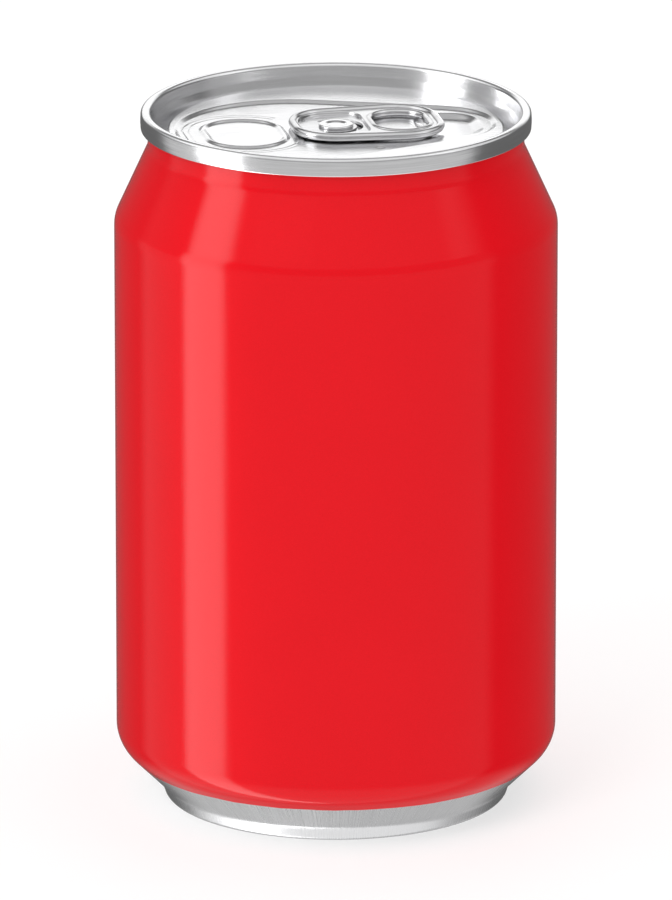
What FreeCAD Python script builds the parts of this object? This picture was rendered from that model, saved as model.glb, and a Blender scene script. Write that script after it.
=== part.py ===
import FreeCAD, Part
import math
import os
import Sketcher

# A sealed aluminium drink can, standing on its base bead. The frame is the can's own: +Z up its axis,
# the origin at the middle of the circle that it stands on, and +X from the rivet to the tab's heel.
#
# body: the drawn can with its tapered neck, rolled-in base and domed bottom. It is shut and full, so the
#       solid runs through, up to the lid's underside.
# lid:  the end that is seamed on, with its seam, chuck wall, countersink, panel, tear score, finger well
#       and the rivet that is formed from its middle.
# tab:  the pull tab, held down by the rivet's head.

DIMENSIONS = (
    # Body
    ("body_diameter", 66.2, "outside the straight wall"),
    ("can_height", 106.0, "from the standing plane to the top of the seam"),
    ("shoulder_height", 11.0, "height of the cone between wall and neck"),
    ("shoulder_round", 5.0, "convex radius where the wall turns into the cone"),
    ("neck_inset", 1.1, "how far the neck lies inside the seam"),
    ("neck_length", 2.6, "straight neck under the seam"),
    ("neck_round", 3.0, "concave radius where the cone turns into the neck"),
    ("neck_wall", 0.3, "metal left between the neck and the lid's plug"),
    # Base
    ("chime_height", 8.8, "where the base cone meets the straight wall"),
    ("chime_round", 5.5, "convex radius there"),
    ("stand_diameter", 49.0, "middle of the bead that the can stands on"),
    ("stand_width", 2.4, "the bead, from leg to leg"),
    ("stand_round", 0.9, "radius of the bead's two edges"),
    ("leg_height", 2.2, "height of the bead's outer leg"),
    ("leg_flare", 0.7, "how far that leg leans out"),
    ("leg_round", 2.0, "concave radius above the leg"),
    ("dome_depth", 10.2, "from the standing plane to the top of the dome"),
    ("dome_radius", 45.0, "radius of the dome's sphere"),
    # Seam and lid
    ("seam_diameter", 58.3, "outside the double seam"),
    ("seam_height", 2.8, "height of the seam's outer face"),
    ("seam_width", 1.5, "thickness of the seam"),
    ("seam_round", 0.6, "radius of the seam's two upper edges"),
    ("seam_hem_round", 0.35, "radius of the seam's lower edge"),
    ("countersink_depth", 5.2, "from the top of the seam to the bottom of the groove"),
    ("countersink_width", 1.2, "the groove between chuck wall and panel"),
    ("countersink_round", 0.5, "radius of the groove's two lower corners"),
    ("chuck_lean", 1.25, "how far the chuck wall leans in, from the seam to the groove"),
    ("panel_depth", 2.7, "from the top of the seam to the panel"),
    ("panel_round", 0.5, "radius of the panel's edge"),
    ("lid_sheet", 0.4, "lid below and outside the groove"),
    # Sunk field round the tear panel and the tab
    ("field_depth", 0.4, "how far the field lies below the panel"),
    ("field_margin", 1.6, "least distance from the field to the panel's edge"),
    ("field_mouth_radius", 17.0, "round end of the field, at the tear panel"),
    ("tab_clearance", 0.7, "from the tab's side to the field's round end at the heel"),
    # Tear panel
    ("nose_overlap", 1.7, "how far the tab's nose reaches over the tear score"),
    ("tear_straight", 2.2, "half the straight between the score's round ends"),
    ("tear_margin", 0.9, "from the field's edge to the tear score"),
    ("score_width", 0.3, "width of the score"),
    ("score_depth", 0.12, "depth of the score"),
    # Finger well
    ("heel_overlap", 3.5, "how far the tab's heel reaches over the well"),
    ("well_straight", 1.8, "half the straight between the well's round ends"),
    ("well_margin", 1.9, "from the field's edge to the well"),
    ("well_depth", 0.7, "depth of the well below the field"),
    # Rivet
    ("boss_radius", 3.1, "low step that the tab's tongue lies on"),
    ("rivet_radius", 1.7, "shank through the tab"),
    ("rivet_head_radius", 2.6, "flattened head"),
    ("rivet_head_height", 0.45, "height of the head above the tab's web"),
    ("rivet_head_round", 0.2, "radius of the head's edge"),
    # Tab
    ("tab_gap", 0.15, "height of the tab above the field, and of the boss"),
    ("tab_thickness", 1.25, "height of the rolled edge"),
    ("tab_nose", 6.8, "from the rivet to the tip of the nose"),
    ("tab_heel", 16.0, "from the rivet to the end of the heel"),
    ("tab_nose_width", 16.4, "width across the nose"),
    ("tab_heel_width", 17.8, "width across the heel"),
    ("tab_nose_corner", 6.6, "corner radius at the nose"),
    ("tab_heel_corner", 7.0, "corner radius at the heel"),
    ("roll_width", 1.35, "width of the rolled edge"),
    ("roll_round", 0.55, "radius of the rolled edge, above and below"),
    ("web_thickness", 0.4, "sheet inside the rolled edge"),
    ("web_corner", 3.2, "corner radius of the sheet beside the finger hole"),
    ("finger_hole_radius", 3.8, "round ends of the finger hole"),
    ("finger_hole_straight", 1.7, "half the straight between those ends"),
    ("heel_bar", 2.5, "from the finger hole to the end of the heel"),
    ("hole_roll_round", 0.4, "radius of the finger hole's edges"),
    ("rivet_clearance", 0.05, "between the rivet's shank and the tab"),
    ("slot_radius", 3.6, "middle of the slot round the tongue"),
    ("slot_width", 0.9, "width of that slot"),
    ("slot_half_angle", 118.0, "degrees that the slot runs each side of the heel"),
)

SKETCH_TOLERANCE = 1e-6


def add_dimensions(doc):
    sheet = doc.addObject("Spreadsheet::Sheet", "dims")
    for row, (alias, value, note) in enumerate(DIMENSIONS, start=1):
        sheet.set(f"A{row}", alias)
        sheet.set(f"B{row}", str(value))
        sheet.set(f"C{row}", note)
        sheet.setAlias(f"B{row}", alias)
    doc.recompute()
    return sheet


# Places that several pieces share, as expressions of the driving dimensions.
WALL_R = "dims.body_diameter / 2"
SEAM_R = "dims.seam_diameter / 2"
SEAM_INNER_R = f"({SEAM_R} - dims.seam_width)"
NECK_R = f"({SEAM_R} - dims.neck_inset)"
GROOVE_OUTER_R = f"({SEAM_INNER_R} - dims.chuck_lean)"
PANEL_R = f"({GROOVE_OUTER_R} - dims.countersink_width)"
PLUG_TOP_R = f"({NECK_R} - dims.neck_wall)"
PLUG_BOTTOM_R = f"({GROOVE_OUTER_R} + dims.lid_sheet)"
STAND_OUTER_R = "(dims.stand_diameter / 2 + dims.stand_width / 2)"
STAND_INNER_R = "(dims.stand_diameter / 2 - dims.stand_width / 2)"

SEAM_BOTTOM_Z = "(dims.can_height - dims.seam_height)"
NECK_BOTTOM_Z = f"({SEAM_BOTTOM_Z} - dims.neck_length)"
SHOULDER_Z = f"({NECK_BOTTOM_Z} - dims.shoulder_height)"
GROOVE_Z = "(dims.can_height - dims.countersink_depth)"
PLUG_Z = f"({GROOVE_Z} - dims.lid_sheet)"
PANEL_Z = "(dims.can_height - dims.panel_depth)"
FIELD_Z = f"({PANEL_Z} - dims.field_depth)"
BOSS_Z = f"({FIELD_Z} + dims.tab_gap)"
WEB_TOP_Z = f"({BOSS_Z} + dims.web_thickness)"
HEAD_TOP_Z = f"({WEB_TOP_Z} + dims.rivet_head_height)"

# The sunk field is a belt round two circles that reach the same distance from the rivet. The tear panel
# and the finger well run from under the tab to a margin inside the field's ends.
FIELD_REACH = f"({PANEL_R} - dims.field_margin)"
FIELD_MOUTH_X = f"(dims.field_mouth_radius - {FIELD_REACH})"
FIELD_HEEL_R = "(dims.tab_heel_width / 2 + dims.tab_clearance)"
FIELD_HEEL_X = f"({FIELD_REACH} - {FIELD_HEEL_R})"
TEAR_R = f"(({FIELD_REACH} - dims.tear_margin - dims.tab_nose + dims.nose_overlap) / 2)"
TEAR_X = f"({TEAR_R} + dims.tear_margin - {FIELD_REACH})"
WELL_R = f"(({FIELD_REACH} - dims.well_margin - dims.tab_heel + dims.heel_overlap) / 2)"
WELL_X = f"({FIELD_REACH} - dims.well_margin - {WELL_R})"
FINGER_HOLE_X = "(dims.tab_heel - dims.heel_bar - dims.finger_hole_radius)"


def arc_about_axis(begin, end):
    """The arc that runs clockwise between two points, about a centre on the vertical axis."""
    middle = (begin + end) / 2
    chord = end - begin
    centre = FreeCAD.Vector(0, middle.y + middle.x * chord.x / chord.y, 0)
    circle = Part.Circle(centre, FreeCAD.Vector(0, 0, 1), (end - centre).Length)
    angles = [math.atan2(p.y - centre.y, p.x - centre.x) for p in (end, begin)]
    return Part.ArcOfCircle(circle, *angles)


class Outliner:
    """Draws constrained sketches whose sizes are bound to the spreadsheet."""

    def __init__(self, doc, sheet):
        self.doc = doc
        self.sheet = sheet

    def value(self, expression):
        """The number that an expression gives now."""
        return float(self.sheet.evalExpression(expression))

    def body(self, name):
        body = self.doc.addObject("PartDesign::Body", name)
        body.Label = name
        return body

    def sketch(self, body, name, plane, height=None):
        """A sketch on one of the body's own planes, lifted to a height."""
        sketch = body.newObject("Sketcher::SketchObject", name)
        origin = [f for f in body.Origin.OriginFeatures if f.Role == plane]
        sketch.AttachmentSupport = (origin[0], [""])
        sketch.MapMode = "FlatFace"
        if height is not None:
            sketch.setExpression("AttachmentOffset.Base.z", height)
        return sketch

    def size(self, sketch, name, constraint, expression):
        """Adds a dimension to a sketch and binds it to an expression."""
        index = sketch.addConstraint(constraint)
        sketch.renameConstraint(index, name)
        sketch.setExpression(f"Constraints.{name}", expression)

    def place_point(self, sketch, name, element, position, x, y):
        """Holds a point of a sketch at two expressions, or on an axis where one is None."""
        if x is None:
            sketch.addConstraint(Sketcher.Constraint("PointOnObject", element, position, -2))
        else:
            distance = Sketcher.Constraint("DistanceX", -1, 1, element, position, self.value(x))
            self.size(sketch, f"{name}_x", distance, x)
        if y is None:
            sketch.addConstraint(Sketcher.Constraint("PointOnObject", element, position, -1))
        else:
            distance = Sketcher.Constraint("DistanceY", -1, 1, element, position, self.value(y))
            self.size(sketch, f"{name}_y", distance, y)

    def outline(self, sketch, corners, domed=()):
        """A closed outline through named corners (name, x, y), clockwise about each arc's centre.

        The sides that start at a corner named in domed are arcs about a centre on the vertical axis,
        and the others are straight.
        """
        places = [
            FreeCAD.Vector(self.value(x) if x else 0, self.value(y) if y else 0, 0)
            for _, x, y in corners
        ]
        count = len(corners)
        ends = []
        for i, (name, _, _) in enumerate(corners):
            begin, end = places[i], places[(i + 1) % count]
            if name in domed:
                sketch.addGeometry(arc_about_axis(begin, end), False)
                ends.append((2, 1))
            else:
                sketch.addGeometry(Part.LineSegment(begin, end), False)
                ends.append((1, 2))
        for i in range(count):
            after = (i + 1) % count
            sketch.addConstraint(
                Sketcher.Constraint("Coincident", i, ends[i][1], after, ends[after][0])
            )
        for i, (name, x, y) in enumerate(corners):
            self.place_point(sketch, name, i, ends[i][0], x, y)
            if name in domed:
                sketch.addConstraint(Sketcher.Constraint("PointOnObject", i, 3, -2))

    def belt(self, sketch, name, circles):
        """A taut belt round circles (x, y, radius), given anticlockwise. None is zero."""
        numbers = [
            (
                FreeCAD.Vector(self.value(x) if x else 0, self.value(y) if y else 0, 0),
                self.value(radius),
            )
            for x, y, radius in circles
        ]
        count = len(circles)
        touch = []
        for i in range(count):
            (centre_a, radius_a), (centre_b, radius_b) = numbers[i], numbers[(i + 1) % count]
            along = centre_b - centre_a
            lean = (radius_a - radius_b) / along.Length
            along.normalize()
            outward = FreeCAD.Vector(along.y, -along.x, 0)
            normal = along * lean + outward * math.sqrt(1 - lean * lean)
            touch.append((centre_a + normal * radius_a, centre_b + normal * radius_b))
        first = sketch.GeometryCount
        for i in range(count):
            centre, radius = numbers[i]
            begin = touch[i - 1][1] - centre
            end = touch[i][0] - centre
            circle = Part.Circle(centre, FreeCAD.Vector(0, 0, 1), radius)
            arc = Part.ArcOfCircle(
                circle, math.atan2(begin.y, begin.x), math.atan2(end.y, end.x)
            )
            sketch.addGeometry(arc, False)
            sketch.addGeometry(Part.LineSegment(*touch[i]), False)
        for i, (x, y, radius) in enumerate(circles):
            arc = first + 2 * i
            line = arc + 1
            next_arc = first + 2 * ((i + 1) % count)
            sketch.addConstraint(Sketcher.Constraint("Tangent", arc, 2, line, 1))
            sketch.addConstraint(Sketcher.Constraint("Tangent", line, 2, next_arc, 1))
            self.place_point(sketch, f"{name}_{i}", arc, 3, x, y)
            self.size(
                sketch,
                f"{name}_{i}_radius",
                Sketcher.Constraint("Radius", arc, self.value(radius)),
                radius,
            )

    def circle(self, sketch, name, radius):
        """A circle round the sketch's origin."""
        index = sketch.addGeometry(
            Part.Circle(FreeCAD.Vector(), FreeCAD.Vector(0, 0, 1), self.value(radius)), False
        )
        sketch.addConstraint(Sketcher.Constraint("Coincident", index, 3, -1, 1))
        self.size(sketch, name, Sketcher.Constraint("Radius", index, self.value(radius)), radius)

    def pocket(self, body, sketch, name, depth):
        """Cuts a sketch downwards, and checks that it took material away."""
        before = body.Shape.Volume
        pocket = body.newObject("PartDesign::Pocket", name)
        pocket.Profile = sketch
        pocket.setExpression("Length", depth)
        self.doc.recompute()
        if not body.Shape.Volume < before:
            raise RuntimeError(f"{name} cut nothing")
        return pocket

    def revolve(self, body, sketch, name):
        """Turns a half section, drawn on XZ, about the can's axis."""
        revolution = body.newObject("PartDesign::Revolution", name)
        revolution.Profile = sketch
        revolution.ReferenceAxis = (sketch, ["V_Axis"])
        revolution.Angle = 360
        self.doc.recompute()
        return revolution

    def fillet(self, body, name, radius, edges):
        """Rounds edges, picked by a test on the edge, and checks that it changed the solid."""
        picked = [
            f"Edge{i}"
            for i, edge in enumerate(body.Shape.Edges, start=1)
            if not edge.Degenerated and edges(edge)
        ]
        if not picked:
            raise RuntimeError(f"{name} found no edge")
        before, base = body.Shape.Volume, body.Tip
        fillet = body.newObject("PartDesign::Fillet", name)
        fillet.Base = (base, picked)
        fillet.setExpression("Radius", radius)
        self.doc.recompute()
        if math.isclose(body.Shape.Volume, before, rel_tol=1e-12):
            raise RuntimeError(f"{name} changed nothing")
        return fillet

    def ring(self, radius, height):
        """A test for the round edge of that radius and height about the axis."""
        wanted_radius, wanted_height = self.value(radius), self.value(height)

        def test(edge):
            curve = edge.Curve
            return (
                isinstance(curve, Part.Circle)
                and abs(curve.Radius - wanted_radius) < SKETCH_TOLERANCE
                and abs(curve.Center.z - wanted_height) < SKETCH_TOLERANCE
                and math.hypot(curve.Center.x, curve.Center.y) < SKETCH_TOLERANCE
            )

        return test


def make_body(draw):
    """The can's body, a half section turned about the axis and then rounded."""
    body = draw.body("body")
    section = draw.sketch(body, "body_section", "XZ_Plane")
    dome_edge_r = f"({STAND_INNER_R} - dims.stand_round)"
    dome_centre_z = "(dims.dome_depth - dims.dome_radius)"
    dome_edge_z = f"({dome_centre_z} + sqrt(dims.dome_radius ^ 2 - {dome_edge_r} ^ 2))"
    leg_top_r = f"({STAND_OUTER_R} + dims.leg_flare)"
    corners = (
        ("dome_top", None, "dims.dome_depth"),
        ("dome_edge", dome_edge_r, dome_edge_z),
        ("stand_inner", STAND_INNER_R, None),
        ("stand_outer", STAND_OUTER_R, None),
        ("leg_top", leg_top_r, "dims.leg_height"),
        ("chime", WALL_R, "dims.chime_height"),
        ("shoulder", WALL_R, SHOULDER_Z),
        ("neck_bottom", NECK_R, NECK_BOTTOM_Z),
        ("neck_top", NECK_R, SEAM_BOTTOM_Z),
        ("plug_top", PLUG_TOP_R, SEAM_BOTTOM_Z),
        ("plug_bottom", PLUG_BOTTOM_R, PLUG_Z),
        ("axis_top", None, PLUG_Z),
    )
    draw.outline(section, corners, domed=("dome_top",))
    draw.revolve(body, section, "body_turned")

    rings = (
        ("chime_rounded", "dims.chime_round", ((WALL_R, "dims.chime_height"),)),
        ("shoulder_rounded", "dims.shoulder_round", ((WALL_R, SHOULDER_Z),)),
        ("neck_rounded", "dims.neck_round", ((NECK_R, NECK_BOTTOM_Z),)),
        ("leg_rounded", "dims.leg_round", ((leg_top_r, "dims.leg_height"),)),
        ("stand_rounded", "dims.stand_round", ((STAND_INNER_R, "0"), (STAND_OUTER_R, "0"))),
    )
    for name, radius, places in rings:
        tests = [draw.ring(*place) for place in places]
        draw.fillet(body, name, radius, lambda edge, tests=tests: any(t(edge) for t in tests))
    return body


def make_lid(draw):
    """The seamed end, with its panel cut in from above and the rivet turned up from it."""
    body = draw.body("lid")
    section = draw.sketch(body, "lid_section", "XZ_Plane")
    corners = (
        ("axis_bottom", None, PLUG_Z),
        ("plug_bottom", PLUG_BOTTOM_R, PLUG_Z),
        ("plug_top", PLUG_TOP_R, SEAM_BOTTOM_Z),
        ("seam_bottom", SEAM_R, SEAM_BOTTOM_Z),
        ("seam_top", SEAM_R, "dims.can_height"),
        ("seam_inner", SEAM_INNER_R, "dims.can_height"),
        ("groove_outer", GROOVE_OUTER_R, GROOVE_Z),
        ("groove_inner", PANEL_R, GROOVE_Z),
        ("panel_edge", PANEL_R, PANEL_Z),
        ("axis_top", None, PANEL_Z),
    )
    draw.outline(section, corners)
    draw.revolve(body, section, "lid_turned")
    rings = (
        (
            "seam_rounded",
            "dims.seam_round",
            ((SEAM_R, "dims.can_height"), (SEAM_INNER_R, "dims.can_height")),
        ),
        ("seam_hem_rounded", "dims.seam_hem_round", ((SEAM_R, SEAM_BOTTOM_Z),)),
        ("groove_rounded", "dims.countersink_round", ((GROOVE_OUTER_R, GROOVE_Z), (PANEL_R, GROOVE_Z))),
        ("panel_rounded", "dims.panel_round", ((PANEL_R, PANEL_Z),)),
    )
    for name, radius, places in rings:
        tests = [draw.ring(*place) for place in places]
        draw.fillet(body, name, radius, lambda edge, tests=tests: any(t(edge) for t in tests))

    field = draw.sketch(body, "field_outline", "XY_Plane", PANEL_Z)
    draw.belt(
        field,
        "field",
        (
            (FIELD_MOUTH_X, None, "dims.field_mouth_radius"),
            (FIELD_HEEL_X, None, FIELD_HEEL_R),
        ),
    )
    draw.pocket(body, field, "field", "dims.field_depth")

    rivet = draw.sketch(body, "rivet_section", "XZ_Plane")
    corners = (
        ("axis_bottom", None, FIELD_Z),
        ("boss_bottom", "dims.boss_radius", FIELD_Z),
        ("boss_top", "dims.boss_radius", BOSS_Z),
        ("shank_bottom", "dims.rivet_radius", BOSS_Z),
        ("shank_top", "dims.rivet_radius", WEB_TOP_Z),
        ("head_bottom", "dims.rivet_head_radius", WEB_TOP_Z),
        ("head_top", "dims.rivet_head_radius", HEAD_TOP_Z),
        ("axis_top", None, HEAD_TOP_Z),
    )
    draw.outline(rivet, corners)
    draw.revolve(body, rivet, "rivet")
    head = draw.ring("dims.rivet_head_radius", HEAD_TOP_Z)
    draw.fillet(body, "rivet_rounded", "dims.rivet_head_round", head)

    score = draw.sketch(body, "score_outline", "XY_Plane", FIELD_Z)
    for side, sign in (("outer", "+"), ("inner", "-")):
        radius = f"({TEAR_R} {sign} dims.score_width / 2)"
        circles = ((TEAR_X, "-dims.tear_straight", radius), (TEAR_X, "dims.tear_straight", radius))
        draw.belt(score, f"score_{side}", circles)
    draw.pocket(body, score, "score", "dims.score_depth")

    well = draw.sketch(body, "well_outline", "XY_Plane", FIELD_Z)
    circles = (
        (WELL_X, "-dims.well_straight", WELL_R),
        (WELL_X, "dims.well_straight", WELL_R),
    )
    draw.belt(well, "well", circles)
    draw.pocket(body, well, "well", "dims.well_depth")
    return body


def tab_circles(inset):
    """The four corner circles of the tab's outline, drawn in by an inset."""
    nose_x = "(dims.tab_nose_corner - dims.tab_nose)"
    nose_y = "(dims.tab_nose_width / 2 - dims.tab_nose_corner)"
    heel_x = "(dims.tab_heel - dims.tab_heel_corner)"
    heel_y = "(dims.tab_heel_width / 2 - dims.tab_heel_corner)"
    nose_radius = f"(dims.tab_nose_corner - {inset})"
    heel_radius = f"(dims.tab_heel_corner - {inset})"
    return (
        (nose_x, f"-{nose_y}", nose_radius),
        (heel_x, f"-{heel_y}", heel_radius),
        (heel_x, heel_y, heel_radius),
        (nose_x, nose_y, nose_radius),
    )


def make_tab(draw):
    """The pull tab, in a frame of its own: the rivet's axis is Z and the underside is Z = 0."""
    body = draw.body("tab")
    outline = draw.sketch(body, "tab_outline", "XY_Plane")
    draw.belt(outline, "tab", tab_circles("0"))
    pad = body.newObject("PartDesign::Pad", "tab_blank")
    pad.Profile = outline
    pad.setExpression("Length", "dims.tab_thickness")
    draw.doc.recompute()
    draw.fillet(body, "tab_rolled", "dims.roll_round", level_edge)

    # The sunk web lies in front of the finger hole's own rolled edge.
    web = draw.sketch(body, "web_outline", "XY_Plane", "dims.tab_thickness")
    nose = tab_circles("dims.roll_width")
    web_end = f"({FINGER_HOLE_X} - dims.finger_hole_radius - dims.roll_width)"
    web_x = f"({web_end} - dims.web_corner)"
    web_y = "(dims.tab_nose_width / 2 - dims.roll_width - dims.web_corner)"
    far = ((web_x, f"-{web_y}", "dims.web_corner"), (web_x, web_y, "dims.web_corner"))
    draw.belt(web, "web", (nose[0], *far, nose[3]))
    draw.pocket(body, web, "web", "dims.tab_thickness - dims.web_thickness")

    hole = draw.sketch(body, "finger_hole_outline", "XY_Plane", "dims.tab_thickness")
    circles = (
        (FINGER_HOLE_X, "-dims.finger_hole_straight", "dims.finger_hole_radius"),
        (FINGER_HOLE_X, "dims.finger_hole_straight", "dims.finger_hole_radius"),
    )
    draw.belt(hole, "finger_hole", circles)
    draw.pocket(body, hole, "finger_hole", "dims.tab_thickness")
    reach = draw.value("dims.finger_hole_radius") + SKETCH_TOLERANCE
    middle = draw.value(FINGER_HOLE_X)

    def hole_edge(edge):
        box = edge.BoundBox
        return level_edge(edge) and box.XMin > middle - reach and box.XMax < middle + reach

    draw.fillet(body, "finger_hole_rolled", "dims.hole_roll_round", hole_edge)

    rivet_hole = draw.sketch(body, "rivet_hole_outline", "XY_Plane", "dims.web_thickness")
    draw.circle(rivet_hole, "rivet_hole", "(dims.rivet_radius + dims.rivet_clearance)")
    draw.pocket(body, rivet_hole, "rivet_hole", "dims.web_thickness")

    slot = draw.sketch(body, "slot_outline", "XY_Plane", "dims.web_thickness")
    add_slot(draw, slot)
    draw.pocket(body, slot, "slot", "dims.web_thickness")
    body.setExpression("Placement.Base.z", BOSS_Z)
    return body


def level_edge(edge):
    """Whether an edge lies flat."""
    return edge.BoundBox.ZLength < SKETCH_TOLERANCE


def add_slot(draw, sketch):
    """The round-ended slot about the rivet that frees the tongue, open towards the nose."""
    middle = draw.value("dims.slot_radius")
    half_width = draw.value("dims.slot_width") / 2
    turn = math.radians(draw.value("dims.slot_half_angle"))
    up = FreeCAD.Vector(0, 0, 1)
    for radius in (middle + half_width, middle - half_width):
        sketch.addGeometry(Part.ArcOfCircle(Part.Circle(FreeCAD.Vector(), up, radius), -turn, turn), False)
    for angle in (turn, -turn):
        centre = FreeCAD.Vector(math.cos(angle), math.sin(angle), 0) * middle
        circle = Part.Circle(centre, up, half_width)
        begin = angle if angle > 0 else angle - math.pi
        sketch.addGeometry(Part.ArcOfCircle(circle, begin, begin + math.pi), False)
    outer, inner, far_end, near_end = 0, 1, 2, 3
    for arc in (outer, inner):
        sketch.addConstraint(Sketcher.Constraint("Coincident", arc, 3, -1, 1))
    sketch.addConstraint(Sketcher.Constraint("Tangent", outer, 2, far_end, 1))
    sketch.addConstraint(Sketcher.Constraint("Tangent", far_end, 2, inner, 2))
    sketch.addConstraint(Sketcher.Constraint("Tangent", inner, 1, near_end, 1))
    sketch.addConstraint(Sketcher.Constraint("Tangent", near_end, 2, outer, 1))
    draw.size(
        sketch,
        "slot_outer",
        Sketcher.Constraint("Radius", outer, middle + half_width),
        "dims.slot_radius + dims.slot_width / 2",
    )
    draw.size(
        sketch,
        "slot_inner",
        Sketcher.Constraint("Radius", inner, middle - half_width),
        "dims.slot_radius - dims.slot_width / 2",
    )
    # Tangency and the two radii leave each round end one freedom, along the slot.
    end_x = "dims.slot_radius * cos(dims.slot_half_angle * 1deg)"
    for name, end in (("far_end", far_end), ("near_end", near_end)):
        distance = Sketcher.Constraint("DistanceX", -1, 1, end, 3, draw.value(end_x))
        draw.size(sketch, name, distance, end_x)


def check(doc):
    """Stops if any object of the document failed."""
    for item in doc.Objects:
        if {"Invalid", "Error"} & set(item.State):
            raise RuntimeError(f"{item.Name} failed: {item.State}")
        if item.TypeId == "Sketcher::SketchObject" and item.solve() != 0:
            raise RuntimeError(f"the sketch {item.Name} can't be solved")


def write(bodies):
    os.makedirs("parts", exist_ok=True)
    for body in bodies:
        shape = body.Shape
        if shape.isNull() or not shape.isValid() or len(shape.Solids) != 1:
            raise RuntimeError(f"{body.Label} isn't one valid solid")
        shape.exportStep(os.path.join("parts", f"{body.Label}.step"))
        print(f"{body.Label}: {shape.Volume / 1000:.3f} ml")


def main():
    doc = FreeCAD.newDocument("can")
    draw = Outliner(doc, add_dimensions(doc))
    bodies = (make_body(draw), make_lid(draw), make_tab(draw))
    doc.recompute()
    check(doc)
    write(bodies)


main()
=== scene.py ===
"""The looks of a sealed aluminium drink can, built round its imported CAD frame.

Three pieces replace the three CAD nodes: the red coated body, the seamed lid with its rivet, and the pull
tab. Lengths are in millimetres until a mesh is made, and the frame is the CAD's own: +Z up the can's axis,
and +X from the rivet to the tab's finger end.
"""

import math

import bpy
import numpy as np
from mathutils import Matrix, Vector, geometry


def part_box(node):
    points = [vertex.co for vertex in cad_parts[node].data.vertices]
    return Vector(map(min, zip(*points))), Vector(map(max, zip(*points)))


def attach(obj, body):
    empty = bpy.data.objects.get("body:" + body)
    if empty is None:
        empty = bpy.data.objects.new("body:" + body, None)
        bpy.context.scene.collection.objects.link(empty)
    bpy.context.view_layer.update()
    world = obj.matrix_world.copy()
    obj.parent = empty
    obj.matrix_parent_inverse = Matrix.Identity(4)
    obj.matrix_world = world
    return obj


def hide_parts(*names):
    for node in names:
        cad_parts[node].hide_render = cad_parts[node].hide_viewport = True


MM = 0.001

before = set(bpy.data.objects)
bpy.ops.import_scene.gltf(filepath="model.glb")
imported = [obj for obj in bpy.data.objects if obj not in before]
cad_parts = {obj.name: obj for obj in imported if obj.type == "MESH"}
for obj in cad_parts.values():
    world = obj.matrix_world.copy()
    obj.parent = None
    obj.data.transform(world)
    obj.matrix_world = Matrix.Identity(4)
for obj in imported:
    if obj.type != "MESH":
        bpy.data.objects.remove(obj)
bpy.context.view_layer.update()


def span(node):
    """The lowest and highest corners of a CAD node, in millimetres."""
    return [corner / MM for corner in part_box(node)]


# ---------------------------------------------------------------------------------------------------------
# Sizes that come from the frame

body_low, body_high = span("body")
lid_low, lid_high = span("lid")
tab_low, tab_high = span("tab")
WALL_R = (body_high.x - body_low.x) / 2
SEAM_R = (lid_high.x - lid_low.x) / 2
TOP_Z = lid_high.z
PLUG_Z = lid_low.z
TAB_Z = tab_low.z
TAB_THICK = tab_high.z - tab_low.z
TAB_NOSE = -tab_low.x
TAB_HEEL = tab_high.x

# Sizes of the body, from the CAD or close to it
SHOULDER_Z, SHOULDER_ROUND = 89.6, 5.0
NECK_R = SEAM_R - 1.1
NECK_BOTTOM_Z, NECK_ROUND = TOP_Z - 5.4, 3.0
SEAM_BOTTOM_Z = TOP_Z - 2.8
CHIME_Z, CHIME_ROUND = 8.8, 5.5
LEG_R, LEG_Z, LEG_ROUND = 26.4, 2.2, 2.0
STAND_OUTER_R, STAND_INNER_R, STAND_ROUND = 25.7, 23.3, 0.9
DOME_TOP_Z, DOME_SPHERE_R, DOME_EDGE_R, DOME_EDGE_ROUND = 10.2, 45.0, 22.4, 0.8

# The body's closed top, which the lid covers: how far it lies in from the neck and under the lid's plug
TOP_IN, TOP_UNDER = 0.4, 0.2

# Sizes of the lid, from the CAD or close to it
SEAM_INNER_R = SEAM_R - 1.5
GROOVE_OUTER_R = SEAM_INNER_R - 1.25
PANEL_R = GROOVE_OUTER_R - 1.2
GROOVE_Z, GROOVE_ROUND = TOP_Z - 5.2, 0.56
PANEL_Z, PANEL_ROUND = TOP_Z - 2.7, 0.5
FIELD_Z = PANEL_Z - 0.4
FIELD_REACH = PANEL_R - 1.6
FIELD_MOUTH_R, FIELD_HEEL_R = 17.0, 9.6
TEAR_R, TEAR_STRAIGHT, TEAR_MARGIN = 8.8, 2.2, 0.9
WELL_R, WELL_STRAIGHT, WELL_MARGIN, WELL_DROP = 4.6, 1.8, 1.9, 0.7
BOSS_R, RIVET_R, RIVET_HEAD_R, RIVET_HEAD_HEIGHT = 3.1, 1.7, 2.6, 0.45

# The lid's finer shapes, which the CAD leaves out or simplifies
PLUG_MARGIN = 0.4
SEAM_BULGE, SEAM_BULGE_Z, SEAM_BULGE_ROUND = 0.07, SEAM_BOTTOM_Z + 1.2, 3.0
SEAM_TOP_ROUND, SEAM_FOOT_ROUND = 0.62, 0.3
HEM_GAP, HEM_ROUND, HEM_UNDER, HEM_INNER, HEM_OUTER = 0.15, 0.12, 0.3, 0.25, 0.45
CHUCK_BEND_Z, CHUCK_BEND, CHUCK_BEND_ROUND = TOP_Z - 2.0, 0.35, 2.0
PANEL_EDGE = 0.1
SCORE_DEPTH, GUARD_SCORE_DEPTH, TEAR_BEAD_RISE = 0.13, 0.06, 0.3
SCORE_HINGE_ANGLE, SCORE_HINGE_HALF, SCORE_FADE = 38.0, 15.0, 6.0
PIP_R, PIP_X, PIP_Y, PIP_RISE = 0.9, 4.5, 11.2, 0.28
RIVET_FOOT, RIVET_GAP = 0.3, 0.01
RIVET_RIM_ROUND, RIVET_TOP_ROUND = 0.12, 0.24
RIVET_DIMPLE, RIVET_DIMPLE_IN, RIVET_DIMPLE_ROUND = 0.17, 0.5, 0.5

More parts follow.
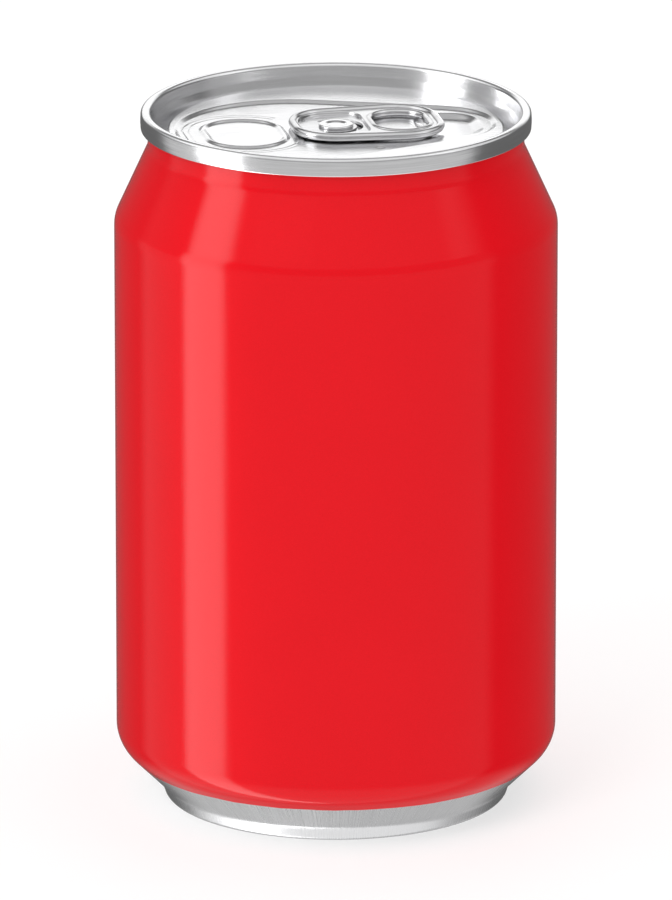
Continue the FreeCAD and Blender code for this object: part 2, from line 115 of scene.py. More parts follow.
# Where each relief on the panel begins and ends, as offsets out from its own outline
FIELD_EDGES = (0.75, -0.25)
SCORE_EDGES = (0.17, -0.17)
GUARD_EDGES = (-0.72, -1.0)
TEAR_BEAD_EDGES = (-2.3, -3.8)
WELL_EDGES = (0.5, -1.3)
PIP_EDGES = (0.2, -0.6)
BOSS_EDGES = (0.5, -0.1)

# Sizes of the tab, as in the CAD
NOSE_CORNER, HEEL_CORNER = 6.6, 7.0
NOSE_HALF, HEEL_HALF = 8.2, 8.9
ROLL_WIDTH = 1.35
HOLE_R, HOLE_STRAIGHT, HEEL_BAR = 3.8, 1.7, 2.5
WEB_CORNER, WEB_THICK = 3.2, 0.4
SLOT_R, SLOT_HALF_WIDTH, SLOT_TURN = 3.6, 0.45, math.radians(118.0)

# The tab's finer shapes, which the CAD leaves out or simplifies
VALLEY_Z, VALLEY_ROUND = 0.86, 0.16
HOLE_ROLL_R, HOLE_ROLL_Z = 0.5, 0.55
WEB_EDGES = (0.0, -0.3)
SLOT_EDGE = 0.06

# How finely round shapes are drawn: steps round the can and round its small discs, how far a straight step
# may stray from its arc, and the most that it may turn
TURNS = 256
SMALL_TURNS = 96
SAG = 0.003
MOST_TURN = math.radians(30.0)

# The rounding of edges that are sharp to the eye
TINY_ROUND = 0.06

# The dome's arc is a little tighter than its sphere, which leaves room to round the dome's edge
DOME_ARC_SHARE = 0.94


# ---------------------------------------------------------------------------------------------------------
# Surfaces


class Surface:
    """Collects points, their normals and faces, and makes one mesh piece of them.

    A ring is a list of the numbers of its points, anticlockwise as seen from above.
    """

    def __init__(self):
        self.points = []
        self.normals = []
        self.faces = []

    def ring(self, plan, heights, normals):
        """Adds a ring from its plan points, one height or many, and its normals."""
        first = len(self.points)
        heights = np.broadcast_to(heights, len(plan))
        self.points.extend(map(tuple, np.column_stack((plan, heights))))
        self.normals.extend(map(tuple, normals))
        return list(range(first, len(self.points)))

    def level_ring(self, outline, z, side):
        """A ring on an outline, with the outline's own level normals (side 1) or their opposites (-1)."""
        plan, outward = outline(0.0)
        return self.ring(plan, z, np.column_stack((outward * side, np.zeros(len(plan)))))

    def band(self, lower, upper):
        """Joins two rings of as many points, facing outwards if the second one is above the first."""
        for i, j in closed_pairs(len(lower)):
            self.faces.append((lower[i], lower[j], upper[j], upper[i]))

    def fan(self, ring, pole, up):
        """Closes a ring with triangles to one point."""
        for i, j in closed_pairs(len(ring)):
            self.faces.append((ring[i], ring[j], pole) if up else (ring[j], ring[i], pole))

    def fill(self, rings, holes=(), up=True):
        """Fills the plan of nested rings with triangles, but for the holes.

        The first ring is the outline, which is convex. Every other ring lies inside it and crosses none.
        """
        numbers = []
        edges = []
        for ring in rings:
            edges.extend((len(numbers) + i, len(numbers) + j) for i, j in closed_pairs(len(ring)))
            numbers.extend(ring)
        plan = [Vector(self.points[n][:2]) for n in numbers]
        found = geometry.delaunay_2d_cdt(plan, edges, [], 0, 1e-7)
        places, triangles, sources = found[0], found[2], found[3]
        outlines = [np.array([self.points[n][:2] for n in hole]) for hole in holes]
        for triangle in triangles:
            middle = sum((places[i] for i in triangle), Vector((0, 0))) / 3
            if any(inside(outline, middle) for outline in outlines):
                continue
            face = tuple(numbers[sources[i][0]] for i in triangle)
            self.faces.append(face if up else face[::-1])

    def turn(self, points, normals, turns=TURNS):
        """Turns a half section (r, z) about the axis, and returns its rings.

        A point on the axis makes a ring of one point, and its neighbours close on it.
        """
        angles = np.arange(turns) * 2 * math.pi / turns
        around = np.column_stack((np.cos(angles), np.sin(angles)))
        rings = []
        for (r, z), (out, up) in zip(points, normals):
            spokes = around if r > 0 else around[:1]
            rises = np.full(len(spokes), up)
            rings.append(self.ring(spokes * r, z, np.column_stack((spokes * out, rises))))
        for lower, upper in zip(rings, rings[1:]):
            if len(lower) == 1:
                self.fan(upper, lower[0], up=False)
            elif len(upper) == 1:
                self.fan(lower, upper[0], up=True)
            else:
                self.band(lower, upper)
        return rings

    def follow(self, outline, profile, fade=None, facing=1):
        """Rings that follow an outline at the rows (offset, z, slope) of a profile.

        The outline is a function of the offset that gives points and outward normals, and the slope is dz by
        doffset. Fade scales how far each point lies from the profile's first height. Facing is -1 for an
        underside.
        """
        rings = []
        base = profile[0][1]
        for offset, z, slope in profile:
            plan, outward = outline(offset)
            share = np.ones(len(plan)) if fade is None else fade(plan)
            steepness = (slope * share)[:, None]
            normals = np.column_stack((-steepness * outward, np.ones(len(plan))))
            normals *= facing / np.sqrt(1 + steepness**2)
            rings.append(self.ring(plan, base + (z - base) * share, normals))
        return rings

    def piece(self, name, material):
        """Makes the mesh object, with these normals, smooth all over."""
        mesh = bpy.data.meshes.new(name)
        mesh.from_pydata([Vector(point) * MM for point in self.points], [], self.faces)
        mesh.polygons.foreach_set("use_smooth", [True] * len(mesh.polygons))
        mesh.validate()
        mesh.normals_split_custom_set_from_vertices(self.normals)
        mesh.materials.append(material)
        item = bpy.data.objects.new(name, mesh)
        bpy.context.scene.collection.objects.link(item)
        return item


def closed_pairs(count):
    """Each number and the one after it, round a closed ring."""
    return [(i, (i + 1) % count) for i in range(count)]


def inside(outline, point):
    """Whether a point of the plan lies inside a closed outline."""
    x, y = outline[:, 0], outline[:, 1]
    next_x, next_y = np.roll(x, -1), np.roll(y, -1)
    crosses = (y > point.y) != (next_y > point.y)
    rise = np.where(crosses, next_y - y, 1.0)
    at = x + (point.y - y) * (next_x - x) / rise
    return bool(np.count_nonzero(crosses & (point.x < at)) % 2)


def arc_steps(turn, radius):
    """How many straight steps keep an arc within SAG of its circle."""
    step = min(MOST_TURN, 2 * math.acos(max(0.0, 1 - SAG / radius)))
    return max(2, math.ceil(abs(turn) / step))


def section(corners):
    """Points (r, z) and normals along a half section with rounded corners (r, z, round).

    The right-hand side, as one goes along it, is the outside.
    """
    places = np.array([corner[:2] for corner in corners], float)
    ways = np.diff(places, axis=0)
    ways /= np.linalg.norm(ways, axis=1)[:, None]
    points = [places[0]]
    normals = [right_of(ways[0])]
    for place, (_, _, radius), before, after in zip(places[1:], corners[1:], ways, ways[1:]):
        turn = math.atan2(before[0] * after[1] - before[1] * after[0], before @ after)
        sign = math.copysign(1, turn)
        begin = place - before * radius * math.tan(abs(turn) / 2)
        centre = begin - right_of(before) * radius * sign
        steps = arc_steps(turn, radius)
        for step in range(steps + 1):
            normal = rotated(right_of(before), turn * step / steps)
            points.append(centre + normal * radius * sign)
            normals.append(normal)
    points.append(places[-1])
    normals.append(right_of(ways[-1]))
    return points, normals


def right_of(way):
    """The direction to the right of a way through the half section."""
    return np.array((way[1], -way[0]))


def rotated(vector, angle):
    """A direction in the half section, turned anticlockwise."""
    cosine, sine = math.cos(angle), math.sin(angle)
    return np.array((vector[0] * cosine - vector[1] * sine, vector[0] * sine + vector[1] * cosine))


def belt(*circles):
    """The outline of a taut belt round circles (x, y, radius), given anticlockwise."""
    headings = []
    for i, j in closed_pairs(len(circles)):
        (ax, ay, ar), (bx, by, br) = circles[i], circles[j]
        lean = math.asin((ar - br) / math.hypot(bx - ax, by - ay))
        headings.append(math.atan2(by - ay, bx - ax) - math.pi / 2 + lean)
    spokes = []
    for i, circle in enumerate(circles):
        turn = (headings[i] - headings[i - 1]) % (2 * math.pi)
        angles = headings[i - 1] + np.linspace(0, turn, arc_steps(turn, circle[2]) + 1)
        spokes.extend((*circle, math.cos(angle), math.sin(angle)) for angle in angles)
    x, y, radius, out_x, out_y = np.array(spokes).T
    normals = np.column_stack((out_x, out_y))

    def outline(offset):
        return np.column_stack((x, y)) + normals * (radius + offset)[:, None], normals

    return outline


def oval(x, straight, radius):
    """The outline of two half circles joined by straights across the tab's length."""
    return belt((x, -straight, radius), (x, straight, radius))


def disc(radius, x=0.0, y=0.0):
    """The outline of a small circle."""
    angles = np.arange(SMALL_TURNS) * 2 * math.pi / SMALL_TURNS
    normals = np.column_stack((np.cos(angles), np.sin(angles)))

    def outline(offset):
        return normals * (radius + offset) + (x, y), normals

    return outline


def ramp(begin, end, low, high, steps):
    """A smooth step in height from one offset to another, as a profile."""
    rows = []
    for share in np.linspace(0, 1, steps + 1):
        height = low + (high - low) * share * share * (3 - 2 * share)
        slope = (high - low) * 6 * share * (1 - share) / (end - begin)
        rows.append((begin + (end - begin) * share, height, slope))
    return rows


def ridge(begin, end, base, rise, steps):
    """A smooth ridge, or a groove if the rise is negative, between two offsets, as a profile."""
    rows = []
    for share in np.linspace(0, 1, steps + 1):
        height = base + rise * (1 - math.cos(2 * math.pi * share)) / 2
        slope = rise * math.pi * math.sin(2 * math.pi * share) / (end - begin)
        rows.append((begin + (end - begin) * share, height, slope))
    return rows


def upper_roll(radius, middle):
    """A rolled edge from just above its outermost line, over its top and down to the valley beside it.

    Rows are (distance from the edge, z, slope), and the two arcs meet where both lean by the same angle.
    """
    lean = math.acos((VALLEY_Z - middle + VALLEY_ROUND) / (radius + VALLEY_ROUND))
    rows = []
    for angle in np.linspace(0, math.pi / 2 + lean, arc_steps(math.pi / 2 + lean, radius) + 1)[1:]:
        height = middle + radius * math.sin(angle)
        rows.append((radius * (1 - math.cos(angle)), height, 1 / math.tan(angle)))
    foot = rows[-1][0] + VALLEY_ROUND * math.sin(lean)
    for angle in np.linspace(lean, 0, arc_steps(lean, VALLEY_ROUND) + 1)[1:]:
        height = VALLEY_Z + VALLEY_ROUND * (1 - math.cos(angle))
        rows.append((foot - VALLEY_ROUND * math.sin(angle), height, -math.tan(angle)))
    return rows


def lower_roll(radius):
    """A rolled edge from just below its outermost line to the flat underside, in the same kind of rows."""
    rows = []
    for angle in np.linspace(0, math.pi / 2, arc_steps(math.pi / 2, radius) + 1)[1:]:
        rows.append((radius * (1 - math.cos(angle)), radius * (1 - math.sin(angle)), -1 / math.tan(angle)))
    return rows


def inwards(rows):
    """Rows measured in from an outer edge, as a profile of the outline that shrinks inwards."""
    return [(-across, z, -slope) for across, z, slope in rows]


def raised(rows, base):
    """The same rows, higher by the base."""
    return [(offset, z + base, slope) for offset, z, slope in rows]


# ---------------------------------------------------------------------------------------------------------
# Body


def make_body(material):
    """The can's body: domed base, standing ring, chime, wall, shoulder and neck, closed under the lid."""
    dome_angle = math.asin(DOME_EDGE_R / DOME_SPHERE_R)
    dome_edge_z = DOME_TOP_Z - DOME_SPHERE_R * (1 - math.cos(dome_angle))
    inner_r = NECK_R - TOP_IN
    inner_z = PLUG_Z - TOP_UNDER
    flange_z = SEAM_BOTTOM_Z + HEM_GAP
    corners = (
        (0, DOME_TOP_Z, 0),
        (DOME_SPHERE_R * math.tan(dome_angle / 2), DOME_TOP_Z, DOME_SPHERE_R * DOME_ARC_SHARE),
        (DOME_EDGE_R, dome_edge_z, DOME_EDGE_ROUND),
        (STAND_INNER_R, 0, STAND_ROUND),
        (STAND_OUTER_R, 0, STAND_ROUND),
        (LEG_R, LEG_Z, LEG_ROUND),
        (WALL_R, CHIME_Z, CHIME_ROUND),
        (WALL_R, SHOULDER_Z, SHOULDER_ROUND),
        (NECK_R, NECK_BOTTOM_Z, NECK_ROUND),
        (NECK_R, flange_z, TINY_ROUND),
        (inner_r, flange_z, TINY_ROUND),
        (inner_r, inner_z, TINY_ROUND),
        (0, inner_z, 0),
    )
    surface = Surface()
    surface.turn(*section(corners))
    return surface.piece("can_body", material)


# ---------------------------------------------------------------------------------------------------------
# Lid


def add_rim(surface):
    """The double seam, the chuck wall, the groove and the panel's edge. Returns the panel's outer ring."""
    hem_z = SEAM_BOTTOM_Z + HEM_GAP
    corners = (
        (0, PLUG_Z, 0),
        (GROOVE_OUTER_R + PLUG_MARGIN, PLUG_Z, TINY_ROUND),
        (NECK_R - HEM_UNDER, hem_z, TINY_ROUND),
        (NECK_R + HEM_INNER, hem_z, HEM_ROUND),
        (NECK_R + HEM_OUTER, SEAM_BOTTOM_Z, HEM_ROUND),
        (SEAM_R - SEAM_BULGE, SEAM_BOTTOM_Z, SEAM_FOOT_ROUND),
        (SEAM_R, SEAM_BULGE_Z, SEAM_BULGE_ROUND),
        (SEAM_R - SEAM_BULGE, TOP_Z, SEAM_TOP_ROUND),
        (SEAM_INNER_R, TOP_Z, SEAM_TOP_ROUND),
        (SEAM_INNER_R - CHUCK_BEND, CHUCK_BEND_Z, CHUCK_BEND_ROUND),
        (GROOVE_OUTER_R, GROOVE_Z, GROOVE_ROUND),
        (PANEL_R, GROOVE_Z, GROOVE_ROUND),
        (PANEL_R, PANEL_Z, PANEL_ROUND),
        (PANEL_R - PANEL_ROUND - PANEL_EDGE, PANEL_Z, 0),
    )
    return surface.turn(*section(corners))[-1]


def add_rivet(surface):
    """The rivet's shank and dimpled head, on the boss that the tab lies on. Returns the ring at its foot."""
    boss_z = TAB_Z
    under_head = boss_z + WEB_THICK + RIVET_GAP
    head_top = boss_z + WEB_THICK + RIVET_HEAD_HEIGHT
    corners = (
        (RIVET_R + RIVET_FOOT, boss_z, 0),
        (RIVET_R, boss_z, TINY_ROUND),
        (RIVET_R, under_head, TINY_ROUND),
        (RIVET_HEAD_R, under_head, RIVET_RIM_ROUND),
        (RIVET_HEAD_R, head_top, RIVET_TOP_ROUND),
        (RIVET_R, head_top, RIVET_DIMPLE_ROUND),
        (RIVET_R - RIVET_DIMPLE_IN, head_top - RIVET_DIMPLE, RIVET_DIMPLE_ROUND),
        (0, head_top - RIVET_DIMPLE, 0),
    )
    return surface.turn(*section(corners), SMALL_TURNS)[0]


def tear_relief(surface):
    """The tear line, the guard score inside it and the raised bead that stiffens the tear panel."""
    tear_x = TEAR_R + TEAR_MARGIN - FIELD_REACH
    tear = oval(tear_x, TEAR_STRAIGHT, TEAR_R)

    def away_from_hinge(plan):
        """0 at the hinge on the rivet's side, where the scores fade out, and 1 elsewhere."""
        angles = np.degrees(np.arctan2(plan[:, 1], plan[:, 0] - tear_x))
        return np.clip((np.abs(angles - SCORE_HINGE_ANGLE) - SCORE_HINGE_HALF) / SCORE_FADE, 0, 1)

    score = ridge(*SCORE_EDGES, FIELD_Z, -SCORE_DEPTH, steps=8)
    guard = ridge(*GUARD_EDGES, FIELD_Z, -GUARD_SCORE_DEPTH, steps=6)
    bead = ridge(*TEAR_BEAD_EDGES, FIELD_Z, TEAR_BEAD_RISE, steps=12)
    rings = surface.follow(tear, score, away_from_hinge)
    rings += surface.follow(tear, guard, away_from_hinge)
    rings += surface.follow(tear, bead)
    return rings


def make_lid(material):
    """The seamed end: its rim, a panel with relief, and the rivet."""
    surface = Surface()
    rings = [add_rim(surface)]
    field = belt(
        (FIELD_MOUTH_R - FIELD_REACH, 0, FIELD_MOUTH_R),
        (FIELD_REACH - FIELD_HEEL_R, 0, FIELD_HEEL_R),
    )
    rings += surface.follow(field, ramp(*FIELD_EDGES, PANEL_Z, FIELD_Z, steps=10))
    rings += tear_relief(surface)
    well = oval(FIELD_REACH - WELL_MARGIN - WELL_R, WELL_STRAIGHT, WELL_R)
    rings += surface.follow(well, ramp(*WELL_EDGES, FIELD_Z, FIELD_Z - WELL_DROP, steps=12))
    for side in (-1, 1):
        pip = disc(PIP_R, PIP_X, side * PIP_Y)
        rings += surface.follow(pip, ramp(*PIP_EDGES, FIELD_Z, FIELD_Z + PIP_RISE, steps=8))
    rings += surface.follow(disc(BOSS_R), ramp(*BOSS_EDGES, FIELD_Z, TAB_Z, steps=6))
    foot = add_rivet(surface)
    surface.fill([*rings, foot], holes=[foot])
    return surface.piece("can_lid", material)


# ---------------------------------------------------------------------------------------------------------
# Tab


def slot_outline(offset):
    """The slot round the rivet's tongue, open towards the nose, and normals into the metal round it."""
    half = SLOT_HALF_WIDTH + offset
    sweep = np.linspace(-SLOT_TURN, SLOT_TURN, arc_steps(2 * SLOT_TURN, SLOT_R) + 1)
    cap = np.linspace(0, math.pi, arc_steps(math.pi, SLOT_HALF_WIDTH) + 1)
    end_x, end_y = SLOT_R * math.cos(SLOT_TURN), SLOT_R * math.sin(SLOT_TURN)
    parts = (
        ((0, 0), SLOT_R + half, sweep[1:-1], 1),
        ((end_x, end_y), half, SLOT_TURN + cap, 1),
        ((0, 0), SLOT_R - half, sweep[-2:0:-1], -1),
        ((end_x, -end_y), half, cap - SLOT_TURN - math.pi, 1),
    )
    points, normals = [], []
    for centre, radius, angles, side in parts:
        spokes = np.column_stack((np.cos(angles), np.sin(angles)))
        points.append(spokes * radius + centre)
        normals.append(spokes * side)
    return np.concatenate(points), np.concatenate(normals)


def tab_outlines():
    """The outlines of the tab, of its finger hole and of the thin web round the rivet."""
    nose_x, nose_y = NOSE_CORNER - TAB_NOSE, NOSE_HALF - NOSE_CORNER
    heel_x, heel_y = TAB_HEEL - HEEL_CORNER, HEEL_HALF - HEEL_CORNER
    edge = belt(
        (nose_x, -nose_y, NOSE_CORNER),
        (heel_x, -heel_y, HEEL_CORNER),
        (heel_x, heel_y, HEEL_CORNER),
        (nose_x, nose_y, NOSE_CORNER),
    )
    hole_x = TAB_HEEL - HEEL_BAR - HOLE_R
    hole = oval(hole_x, HOLE_STRAIGHT, HOLE_R)
    web_x = hole_x - HOLE_R - ROLL_WIDTH - WEB_CORNER
    web_y = NOSE_HALF - ROLL_WIDTH - WEB_CORNER
    web = belt(
        (nose_x, -nose_y, NOSE_CORNER - ROLL_WIDTH),
        (web_x, -web_y, WEB_CORNER),
        (web_x, web_y, WEB_CORNER),
        (nose_x, nose_y, NOSE_CORNER - ROLL_WIDTH),
    )
    return edge, hole, web


def make_tab(material):
    """The pull tab: a rolled outer edge, a rolled finger hole, and the sheet with the rivet's tongue."""
    surface = Surface()
    edge, hole, web = tab_outlines()
    roll_r = TAB_THICK / 2
    web_z = TAB_Z + WEB_THICK
    edge_ring = surface.level_ring(edge, TAB_Z + roll_r, 1)
    hole_ring = surface.level_ring(hole, TAB_Z + HOLE_ROLL_Z, -1)
    slot_top = surface.level_ring(slot_outline, web_z - 2 * SLOT_EDGE, -1)
    slot_bottom = surface.level_ring(slot_outline, TAB_Z + SLOT_EDGE, -1)
    surface.band(slot_top, slot_bottom)

    upper = [edge_ring]
    upper += surface.follow(edge, raised(inwards(upper_roll(roll_r, roll_r)), TAB_Z))
    upper += surface.follow(web, ramp(*WEB_EDGES, TAB_Z + VALLEY_Z, web_z, steps=8))
    upper += surface.follow(hole, raised(upper_roll(HOLE_ROLL_R, HOLE_ROLL_Z), TAB_Z))
    slot_lip = [(SLOT_EDGE, web_z, 0.0), (SLOT_EDGE / 3, web_z - SLOT_EDGE / 2, 1.0)]
    upper += surface.follow(slot_outline, slot_lip)
    surface.fill([*upper, hole_ring, slot_top], holes=[hole_ring, slot_top])

    lower = [edge_ring]
    lower += surface.follow(edge, raised(inwards(lower_roll(roll_r)), TAB_Z), facing=-1)
    lower += surface.follow(hole, raised(lower_roll(HOLE_ROLL_R), TAB_Z), facing=-1)
    lower += surface.follow(slot_outline, [(SLOT_EDGE, TAB_Z, 0.0)], facing=-1)
    surface.fill([*lower, hole_ring, slot_bottom], holes=[hole_ring, slot_bottom], up=False)
    return surface.piece("can_tab", material)


# ---------------------------------------------------------------------------------------------------------
# Materials


class Nodes:
    """Short calls for a shader's node tree. A value is a number, a tuple or another node's output."""

    def __init__(self, tree):
        self.tree = tree
        tree.nodes.clear()

    def put(self, socket, value):
        """Sets an input socket's value, or links it to another node's output."""
        if isinstance(value, bpy.types.NodeSocket):
            self.tree.links.new(value, socket)
        else:
            socket.default_value = value

    def add(self, kind, inputs=None, **settings):
        """A new node with these settings, and with these values at its named or numbered inputs."""
        node = self.tree.nodes.new(kind)
        for name, value in settings.items():
            setattr(node, name, value)
        for name, value in (inputs or {}).items():
            self.put(node.inputs[name], value)
        return node

    def math(self, operation, first, second=0.0):
        """One step of arithmetic on numbers or outputs."""
        return self.add("ShaderNodeMath", {0: first, 1: second}, operation=operation).outputs[0]

    def plus(self, first, second):
        return self.math("ADD", first, second)

    def minus(self, first, second):
        return self.math("SUBTRACT", first, second)

    def times(self, first, second):
        return self.math("MULTIPLY", first, second)

    def between(self, share, first, second):
        """The first value where the share is 0, the second where it is 1, and a blend in between."""
        return self.plus(self.times(first, self.minus(1.0, share)), self.times(second, share))

    def split(self, vector):
        return self.add("ShaderNodeSeparateXYZ", {"Vector": vector}).outputs

    def join(self, x, y, z):
        return self.add("ShaderNodeCombineXYZ", {"X": x, "Y": y, "Z": z}).outputs[0]

    def radius(self, x, y):
        """The distance from the axis."""
        return self.math("SQRT", self.plus(self.times(x, x), self.times(y, y)))

    def round_place(self, x, y, z, radius_mm):
        """A place unrolled about the axis: its radius, the length of arc at one radius, and its height."""
        arc = self.times(self.math("ARCTAN2", y, x), radius_mm * MM)
        return self.join(self.radius(x, y), arc, z)

    def grain(self, place, sizes, detail=3.0):
        """Noise from 0 to 1 whose grains have about these sizes along the place's axes, in millimetres."""
        scale = [size * MM for size in sizes]
        scaled = self.add("ShaderNodeMapping", {"Vector": place, "Scale": scale}, vector_type="TEXTURE")
        noise = self.add("ShaderNodeTexNoise", {"Vector": scaled.outputs[0], "Scale": 1.0, "Detail": detail})
        return noise.outputs["Fac"]

    def smooth(self, value, low, high, out_low=0.0, out_high=1.0):
        """A smooth step from out_low to out_high as the value goes from low to high."""
        inputs = {"Value": value, "From Min": low, "From Max": high, "To Min": out_low, "To Max": out_high}
        return self.add("ShaderNodeMapRange", inputs, interpolation_type="SMOOTHSTEP").outputs[0]

    def blend(self, share, first, second):
        """The first colour where the share is 0, the second where it is 1, and a blend in between."""
        return self.add("ShaderNodeMix", {0: share, 6: first, 7: second}, data_type="RGBA").outputs[2]

    def bump(self, height, distance_mm, normal=None):
        """Fine relief this deep, on top of any relief that is there already."""
        inputs = {"Height": height, "Distance": distance_mm * MM}
        if normal is not None:
            inputs["Normal"] = normal
        return self.add("ShaderNodeBump", inputs).outputs[0]


def grey(tone):
    """The colour of aluminium of this brightness, which is a little blue."""
    return (tone, tone, tone + 0.01, 1)


def principled(name, make_inputs):
    """A material whose shader takes the inputs that a function builds from its nodes."""
    material = bpy.data.materials.new(name)
    material.use_nodes = True
    nodes = Nodes(material.node_tree)
    shader = nodes.add("ShaderNodeBsdfPrincipled", make_inputs(nodes))
    nodes.add("ShaderNodeOutputMaterial", {"Surface": shader.outputs[0]})
    return material


# Noise lies mostly between these values
NOISE_LOW, NOISE_HIGH = 0.3, 0.7

# The length of grains that don't change along an axis
ENDLESS = 1000

RED_DARK = (0.68, 0.002, 0.007, 1)
RED_LIGHT = (0.76, 0.003, 0.010, 1)
INK_END_Z, INK_WAVER, INK_SOFT, INK_THICK = 6.5, 0.4, 0.06, 0.01


def red_coat(nodes):
    """Red ink and clear varnish over drawn aluminium, which is bare round the base and on its dome."""
    place = nodes.add("ShaderNodeTexCoord").outputs["Object"]
    x, y, z = nodes.split(place)
    waver = nodes.grain(place, (6, 6, 20))
    height = nodes.plus(z, nodes.times(waver, INK_WAVER * MM))
    above = nodes.smooth(height, (INK_END_Z - INK_SOFT) * MM, (INK_END_Z + INK_SOFT) * MM)
    outside = nodes.smooth(nodes.radius(x, y), STAND_INNER_R * MM, STAND_OUTER_R * MM)
    ink = nodes.times(above, outside)

    ironing_streaks = nodes.grain(nodes.round_place(x, y, z, WALL_R), (ENDLESS, 0.12, 20))
    flake = nodes.grain(place, (0.11, 0.11, 0.11), 1.0)
    cloud = nodes.grain(place, (17, 17, 17))
    varnish_peel = nodes.grain(place, (0.77, 0.77, 0.77), 2.0)

    ink_tone = nodes.between(0.15, flake, cloud)
    red = nodes.blend(nodes.smooth(ink_tone, 0.2, 0.75), RED_DARK, RED_LIGHT)
    bare = nodes.blend(nodes.smooth(ironing_streaks, NOISE_LOW, NOISE_HIGH), grey(0.74), grey(0.86))
    bare_rough = nodes.smooth(ironing_streaks, NOISE_LOW, NOISE_HIGH, 0.24, 0.36)
    ink_rough = nodes.smooth(cloud, NOISE_LOW, NOISE_HIGH, 0.36, 0.44)
    varnish = nodes.bump(varnish_peel, 0.002, nodes.bump(ironing_streaks, 0.0035))
    return {
        "Base Color": nodes.blend(ink, bare, red),
        "Metallic": nodes.between(ink, 1.0, 0.12),
        "Roughness": nodes.between(ink, bare_rough, ink_rough),
        "Normal": nodes.bump(ink, INK_THICK, varnish),
        "Specular IOR Level": 0.0,
        "Coat Weight": 1.0,
        "Coat Roughness": 0.07,
        "Coat IOR": 1.35,
        "Coat Normal": varnish,
    }


def rolled_metal(tones, roughs):
    """Rolled aluminium: a straight grain along X on the flat panel, and a turned one on the round rim.

    The tones and the roughnesses are pairs, low and high, and the lighter patches are the smoother ones.
    """

    def make_inputs(nodes):
        place = nodes.add("ShaderNodeTexCoord").outputs["Object"]
        x, y, z = nodes.split(place)
        straight = nodes.grain(place, (6, 0.11, 6))
        turned = nodes.grain(nodes.round_place(x, y, z, SEAM_R), (0.14, 12, 0.14))
        on_rim = nodes.smooth(nodes.radius(x, y), (PANEL_R - 0.4) * MM, PANEL_R * MM)
        grain = nodes.between(on_rim, straight, turned)
        cloud = nodes.grain(place, (7, 7, 7))
        tone = nodes.between(0.3, grain, cloud)
        light = nodes.smooth(tone, NOISE_LOW, NOISE_HIGH)
        return {
            "Base Color": nodes.blend(light, grey(tones[0]), grey(tones[1])),
            "Metallic": 1.0,
            "Roughness": nodes.smooth(tone, NOISE_LOW, NOISE_HIGH, roughs[1], roughs[0]),
            "Normal": nodes.bump(cloud, 0.04, nodes.bump(grain, 0.004)),
        }

    return make_inputs


def pale_floor(nodes):
    """A matt floor that glows a little, so that the can's own colour and shade stay faint on it."""
    return {
        "Base Color": (0.48, 0.48, 0.48, 1),
        "Roughness": 0.7,
        "Specular IOR Level": 0.2,
        "Emission Color": (1, 1, 1, 1),
        "Emission Strength": 0.53,
    }


# ---------------------------------------------------------------------------------------------------------
# Studio

CAMERA_AZIMUTH = math.radians(-11.0)
CAMERA_AWAY = 1.804
CAMERA_HEIGHT = 0.5763
CAMERA_LENS = 501.0
AIM_HEIGHT = 0.05325
FLOOR_HALF = 25.0
KEY_PLACE, KEY_SIZE, KEY_POWER = (-0.9, -1.0, 1.1), 0.8, 6.5


def stand(item, place):
    """Puts a camera or a light at a place, looking at the middle of the can."""
    item.location = place
    look = Vector((0, 0, AIM_HEIGHT)) - item.location
    item.rotation_mode = "QUATERNION"
    item.rotation_quaternion = look.to_track_quat("-Z", "Y")
    bpy.context.scene.collection.objects.link(item)


def make_camera():
    """A long lens in front of the can, a little to its left, that looks down on it by about 16 degrees."""
    data = bpy.data.cameras.new("camera")
    data.lens = CAMERA_LENS
    data.clip_start = 0.05
    data.clip_end = 100.0
    camera = bpy.data.objects.new("camera", data)
    level_x = CAMERA_AWAY * math.sin(CAMERA_AZIMUTH)
    level_y = -CAMERA_AWAY * math.cos(CAMERA_AZIMUTH)
    stand(camera, (level_x, level_y, CAMERA_HEIGHT))
    bpy.context.scene.camera = camera


def make_floor():
    """A plain pale floor, wide enough to fill the view from every side."""
    mesh = bpy.data.meshes.new("floor")
    corners = [(x * FLOOR_HALF, y * FLOOR_HALF, 0) for x, y in ((-1, -1), (1, -1), (1, 1), (-1, 1))]
    mesh.from_pydata(corners, [], [(0, 1, 2, 3)])
    mesh.materials.append(principled("pale_floor", pale_floor))
    floor = bpy.data.objects.new("floor", mesh)
    bpy.context.scene.collection.objects.link(floor)
    floor.visible_glossy = False


def make_key():
    """A soft light from the upper left, which isn't seen in the shiny surfaces."""
    data = bpy.data.lights.new("key", "AREA")
    data.size = KEY_SIZE
    data.energy = KEY_POWER
    light = bpy.data.objects.new("key", data)
    stand(light, KEY_PLACE)
    light.visible_camera = False
    light.visible_glossy = False


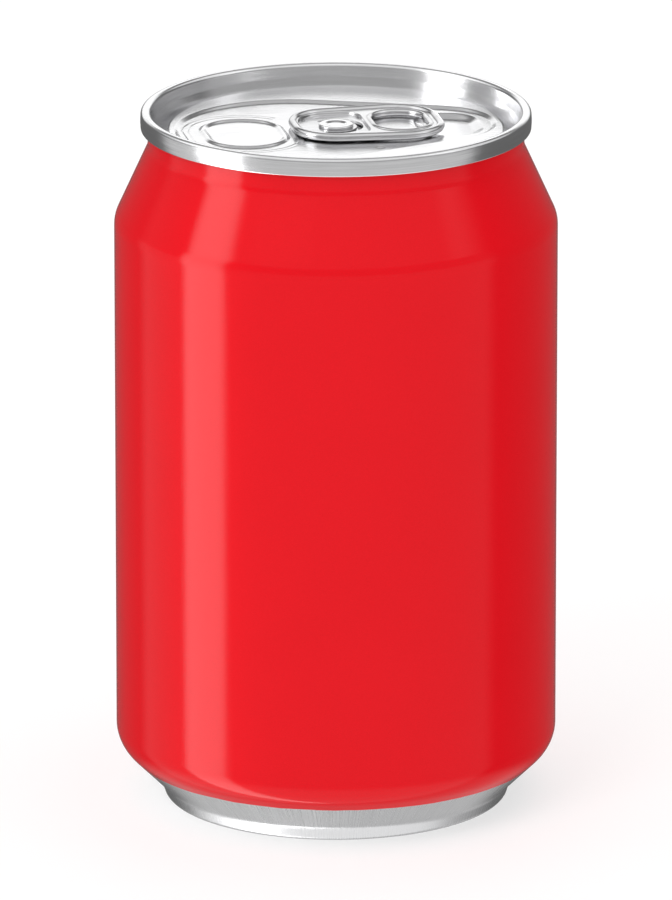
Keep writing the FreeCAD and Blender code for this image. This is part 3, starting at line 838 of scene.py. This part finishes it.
def make_world():
    """Even light for the matt surfaces, and boxes of light with darkness between them for the shiny ones."""
    world = bpy.data.worlds.new("studio")
    bpy.context.scene.world = world
    world.use_nodes = True
    nodes = Nodes(world.node_tree)
    x, y, z = nodes.split(nodes.add("ShaderNodeTexCoord").outputs["Generated"])
    level = nodes.radius(x, y)
    times = nodes.times

    def box(azimuth, half_width, soft, strength):
        """A box of light about a compass direction, anticlockwise from +X in degrees, with soft sides."""
        angle = math.radians(azimuth)
        along = nodes.plus(times(x, math.cos(angle)), times(y, math.sin(angle)))
        outer, inner = (math.cos(math.radians(half_width + side * soft)) for side in (1, -1))
        return nodes.smooth(nodes.math("DIVIDE", along, level), outer, inner, 0.0, strength)

    def rising(low, high):
        """0 at the first elevation and 1 at the second, in degrees."""
        return nodes.smooth(z, math.sin(math.radians(low)), math.sin(math.radians(high)))

    # Wide and faint in front of the can, and half as bright between 6 and 22 degrees up
    dip = times(times(rising(0, 6), rising(30, 22)), 0.5)
    front = times(box(azimuth=243, half_width=104, soft=6, strength=0.42), nodes.minus(1.0, dip))
    # Narrow and strong on the left, for the light stripe down the wall
    left = times(box(azimuth=186, half_width=12.5, soft=3, strength=2.8), rising(38, 27))
    # Low behind the can, for the flat panel of the lid
    low = times(rising(2, 8), rising(27, 21))
    behind = times(box(azimuth=79, half_width=24, soft=12, strength=1.08), low)
    # Higher, at the left and at the right
    high = times(rising(21, 27), rising(64, 53))
    sides = [times(box(azimuth, half_width=35, soft=10, strength=0.6), high) for azimuth in (154, 4)]
    overhead = times(rising(37, 58), 0.33)
    from_below = times(rising(-27, -44), 0.4)
    total = 0.13
    for light in (front, left, behind, *sides, overhead, from_below):
        total = nodes.plus(total, light)
    shiny = nodes.add("ShaderNodeBackground", {"Color": (1, 1, 1, 1), "Strength": total})
    even = nodes.add("ShaderNodeBackground", {"Color": (1, 1, 1, 1), "Strength": 1.0})
    is_glossy = nodes.add("ShaderNodeLightPath").outputs["Is Glossy Ray"]
    mixed = nodes.add("ShaderNodeMixShader", {0: is_glossy, 1: even.outputs[0], 2: shiny.outputs[0]})
    nodes.add("ShaderNodeOutputWorld", {"Surface": mixed.outputs[0]})


def make_studio():
    make_world()
    make_floor()
    make_key()
    settings = bpy.context.scene.view_settings
    settings.view_transform = "Standard"
    settings.look = "None"


# ---------------------------------------------------------------------------------------------------------

make_camera()
make_studio()
pieces = (
    ("body", "red_coat", make_body, red_coat),
    ("lid", "lid_metal", make_lid, rolled_metal(tones=(0.83, 0.94), roughs=(0.15, 0.24))),
    ("tab", "tab_metal", make_tab, rolled_metal(tones=(0.68, 0.80), roughs=(0.14, 0.22))),
)
for node, slot, make_piece, make_inputs in pieces:
    piece = make_piece(principled(slot, make_inputs))
    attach(piece, "root")
    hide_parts(node)
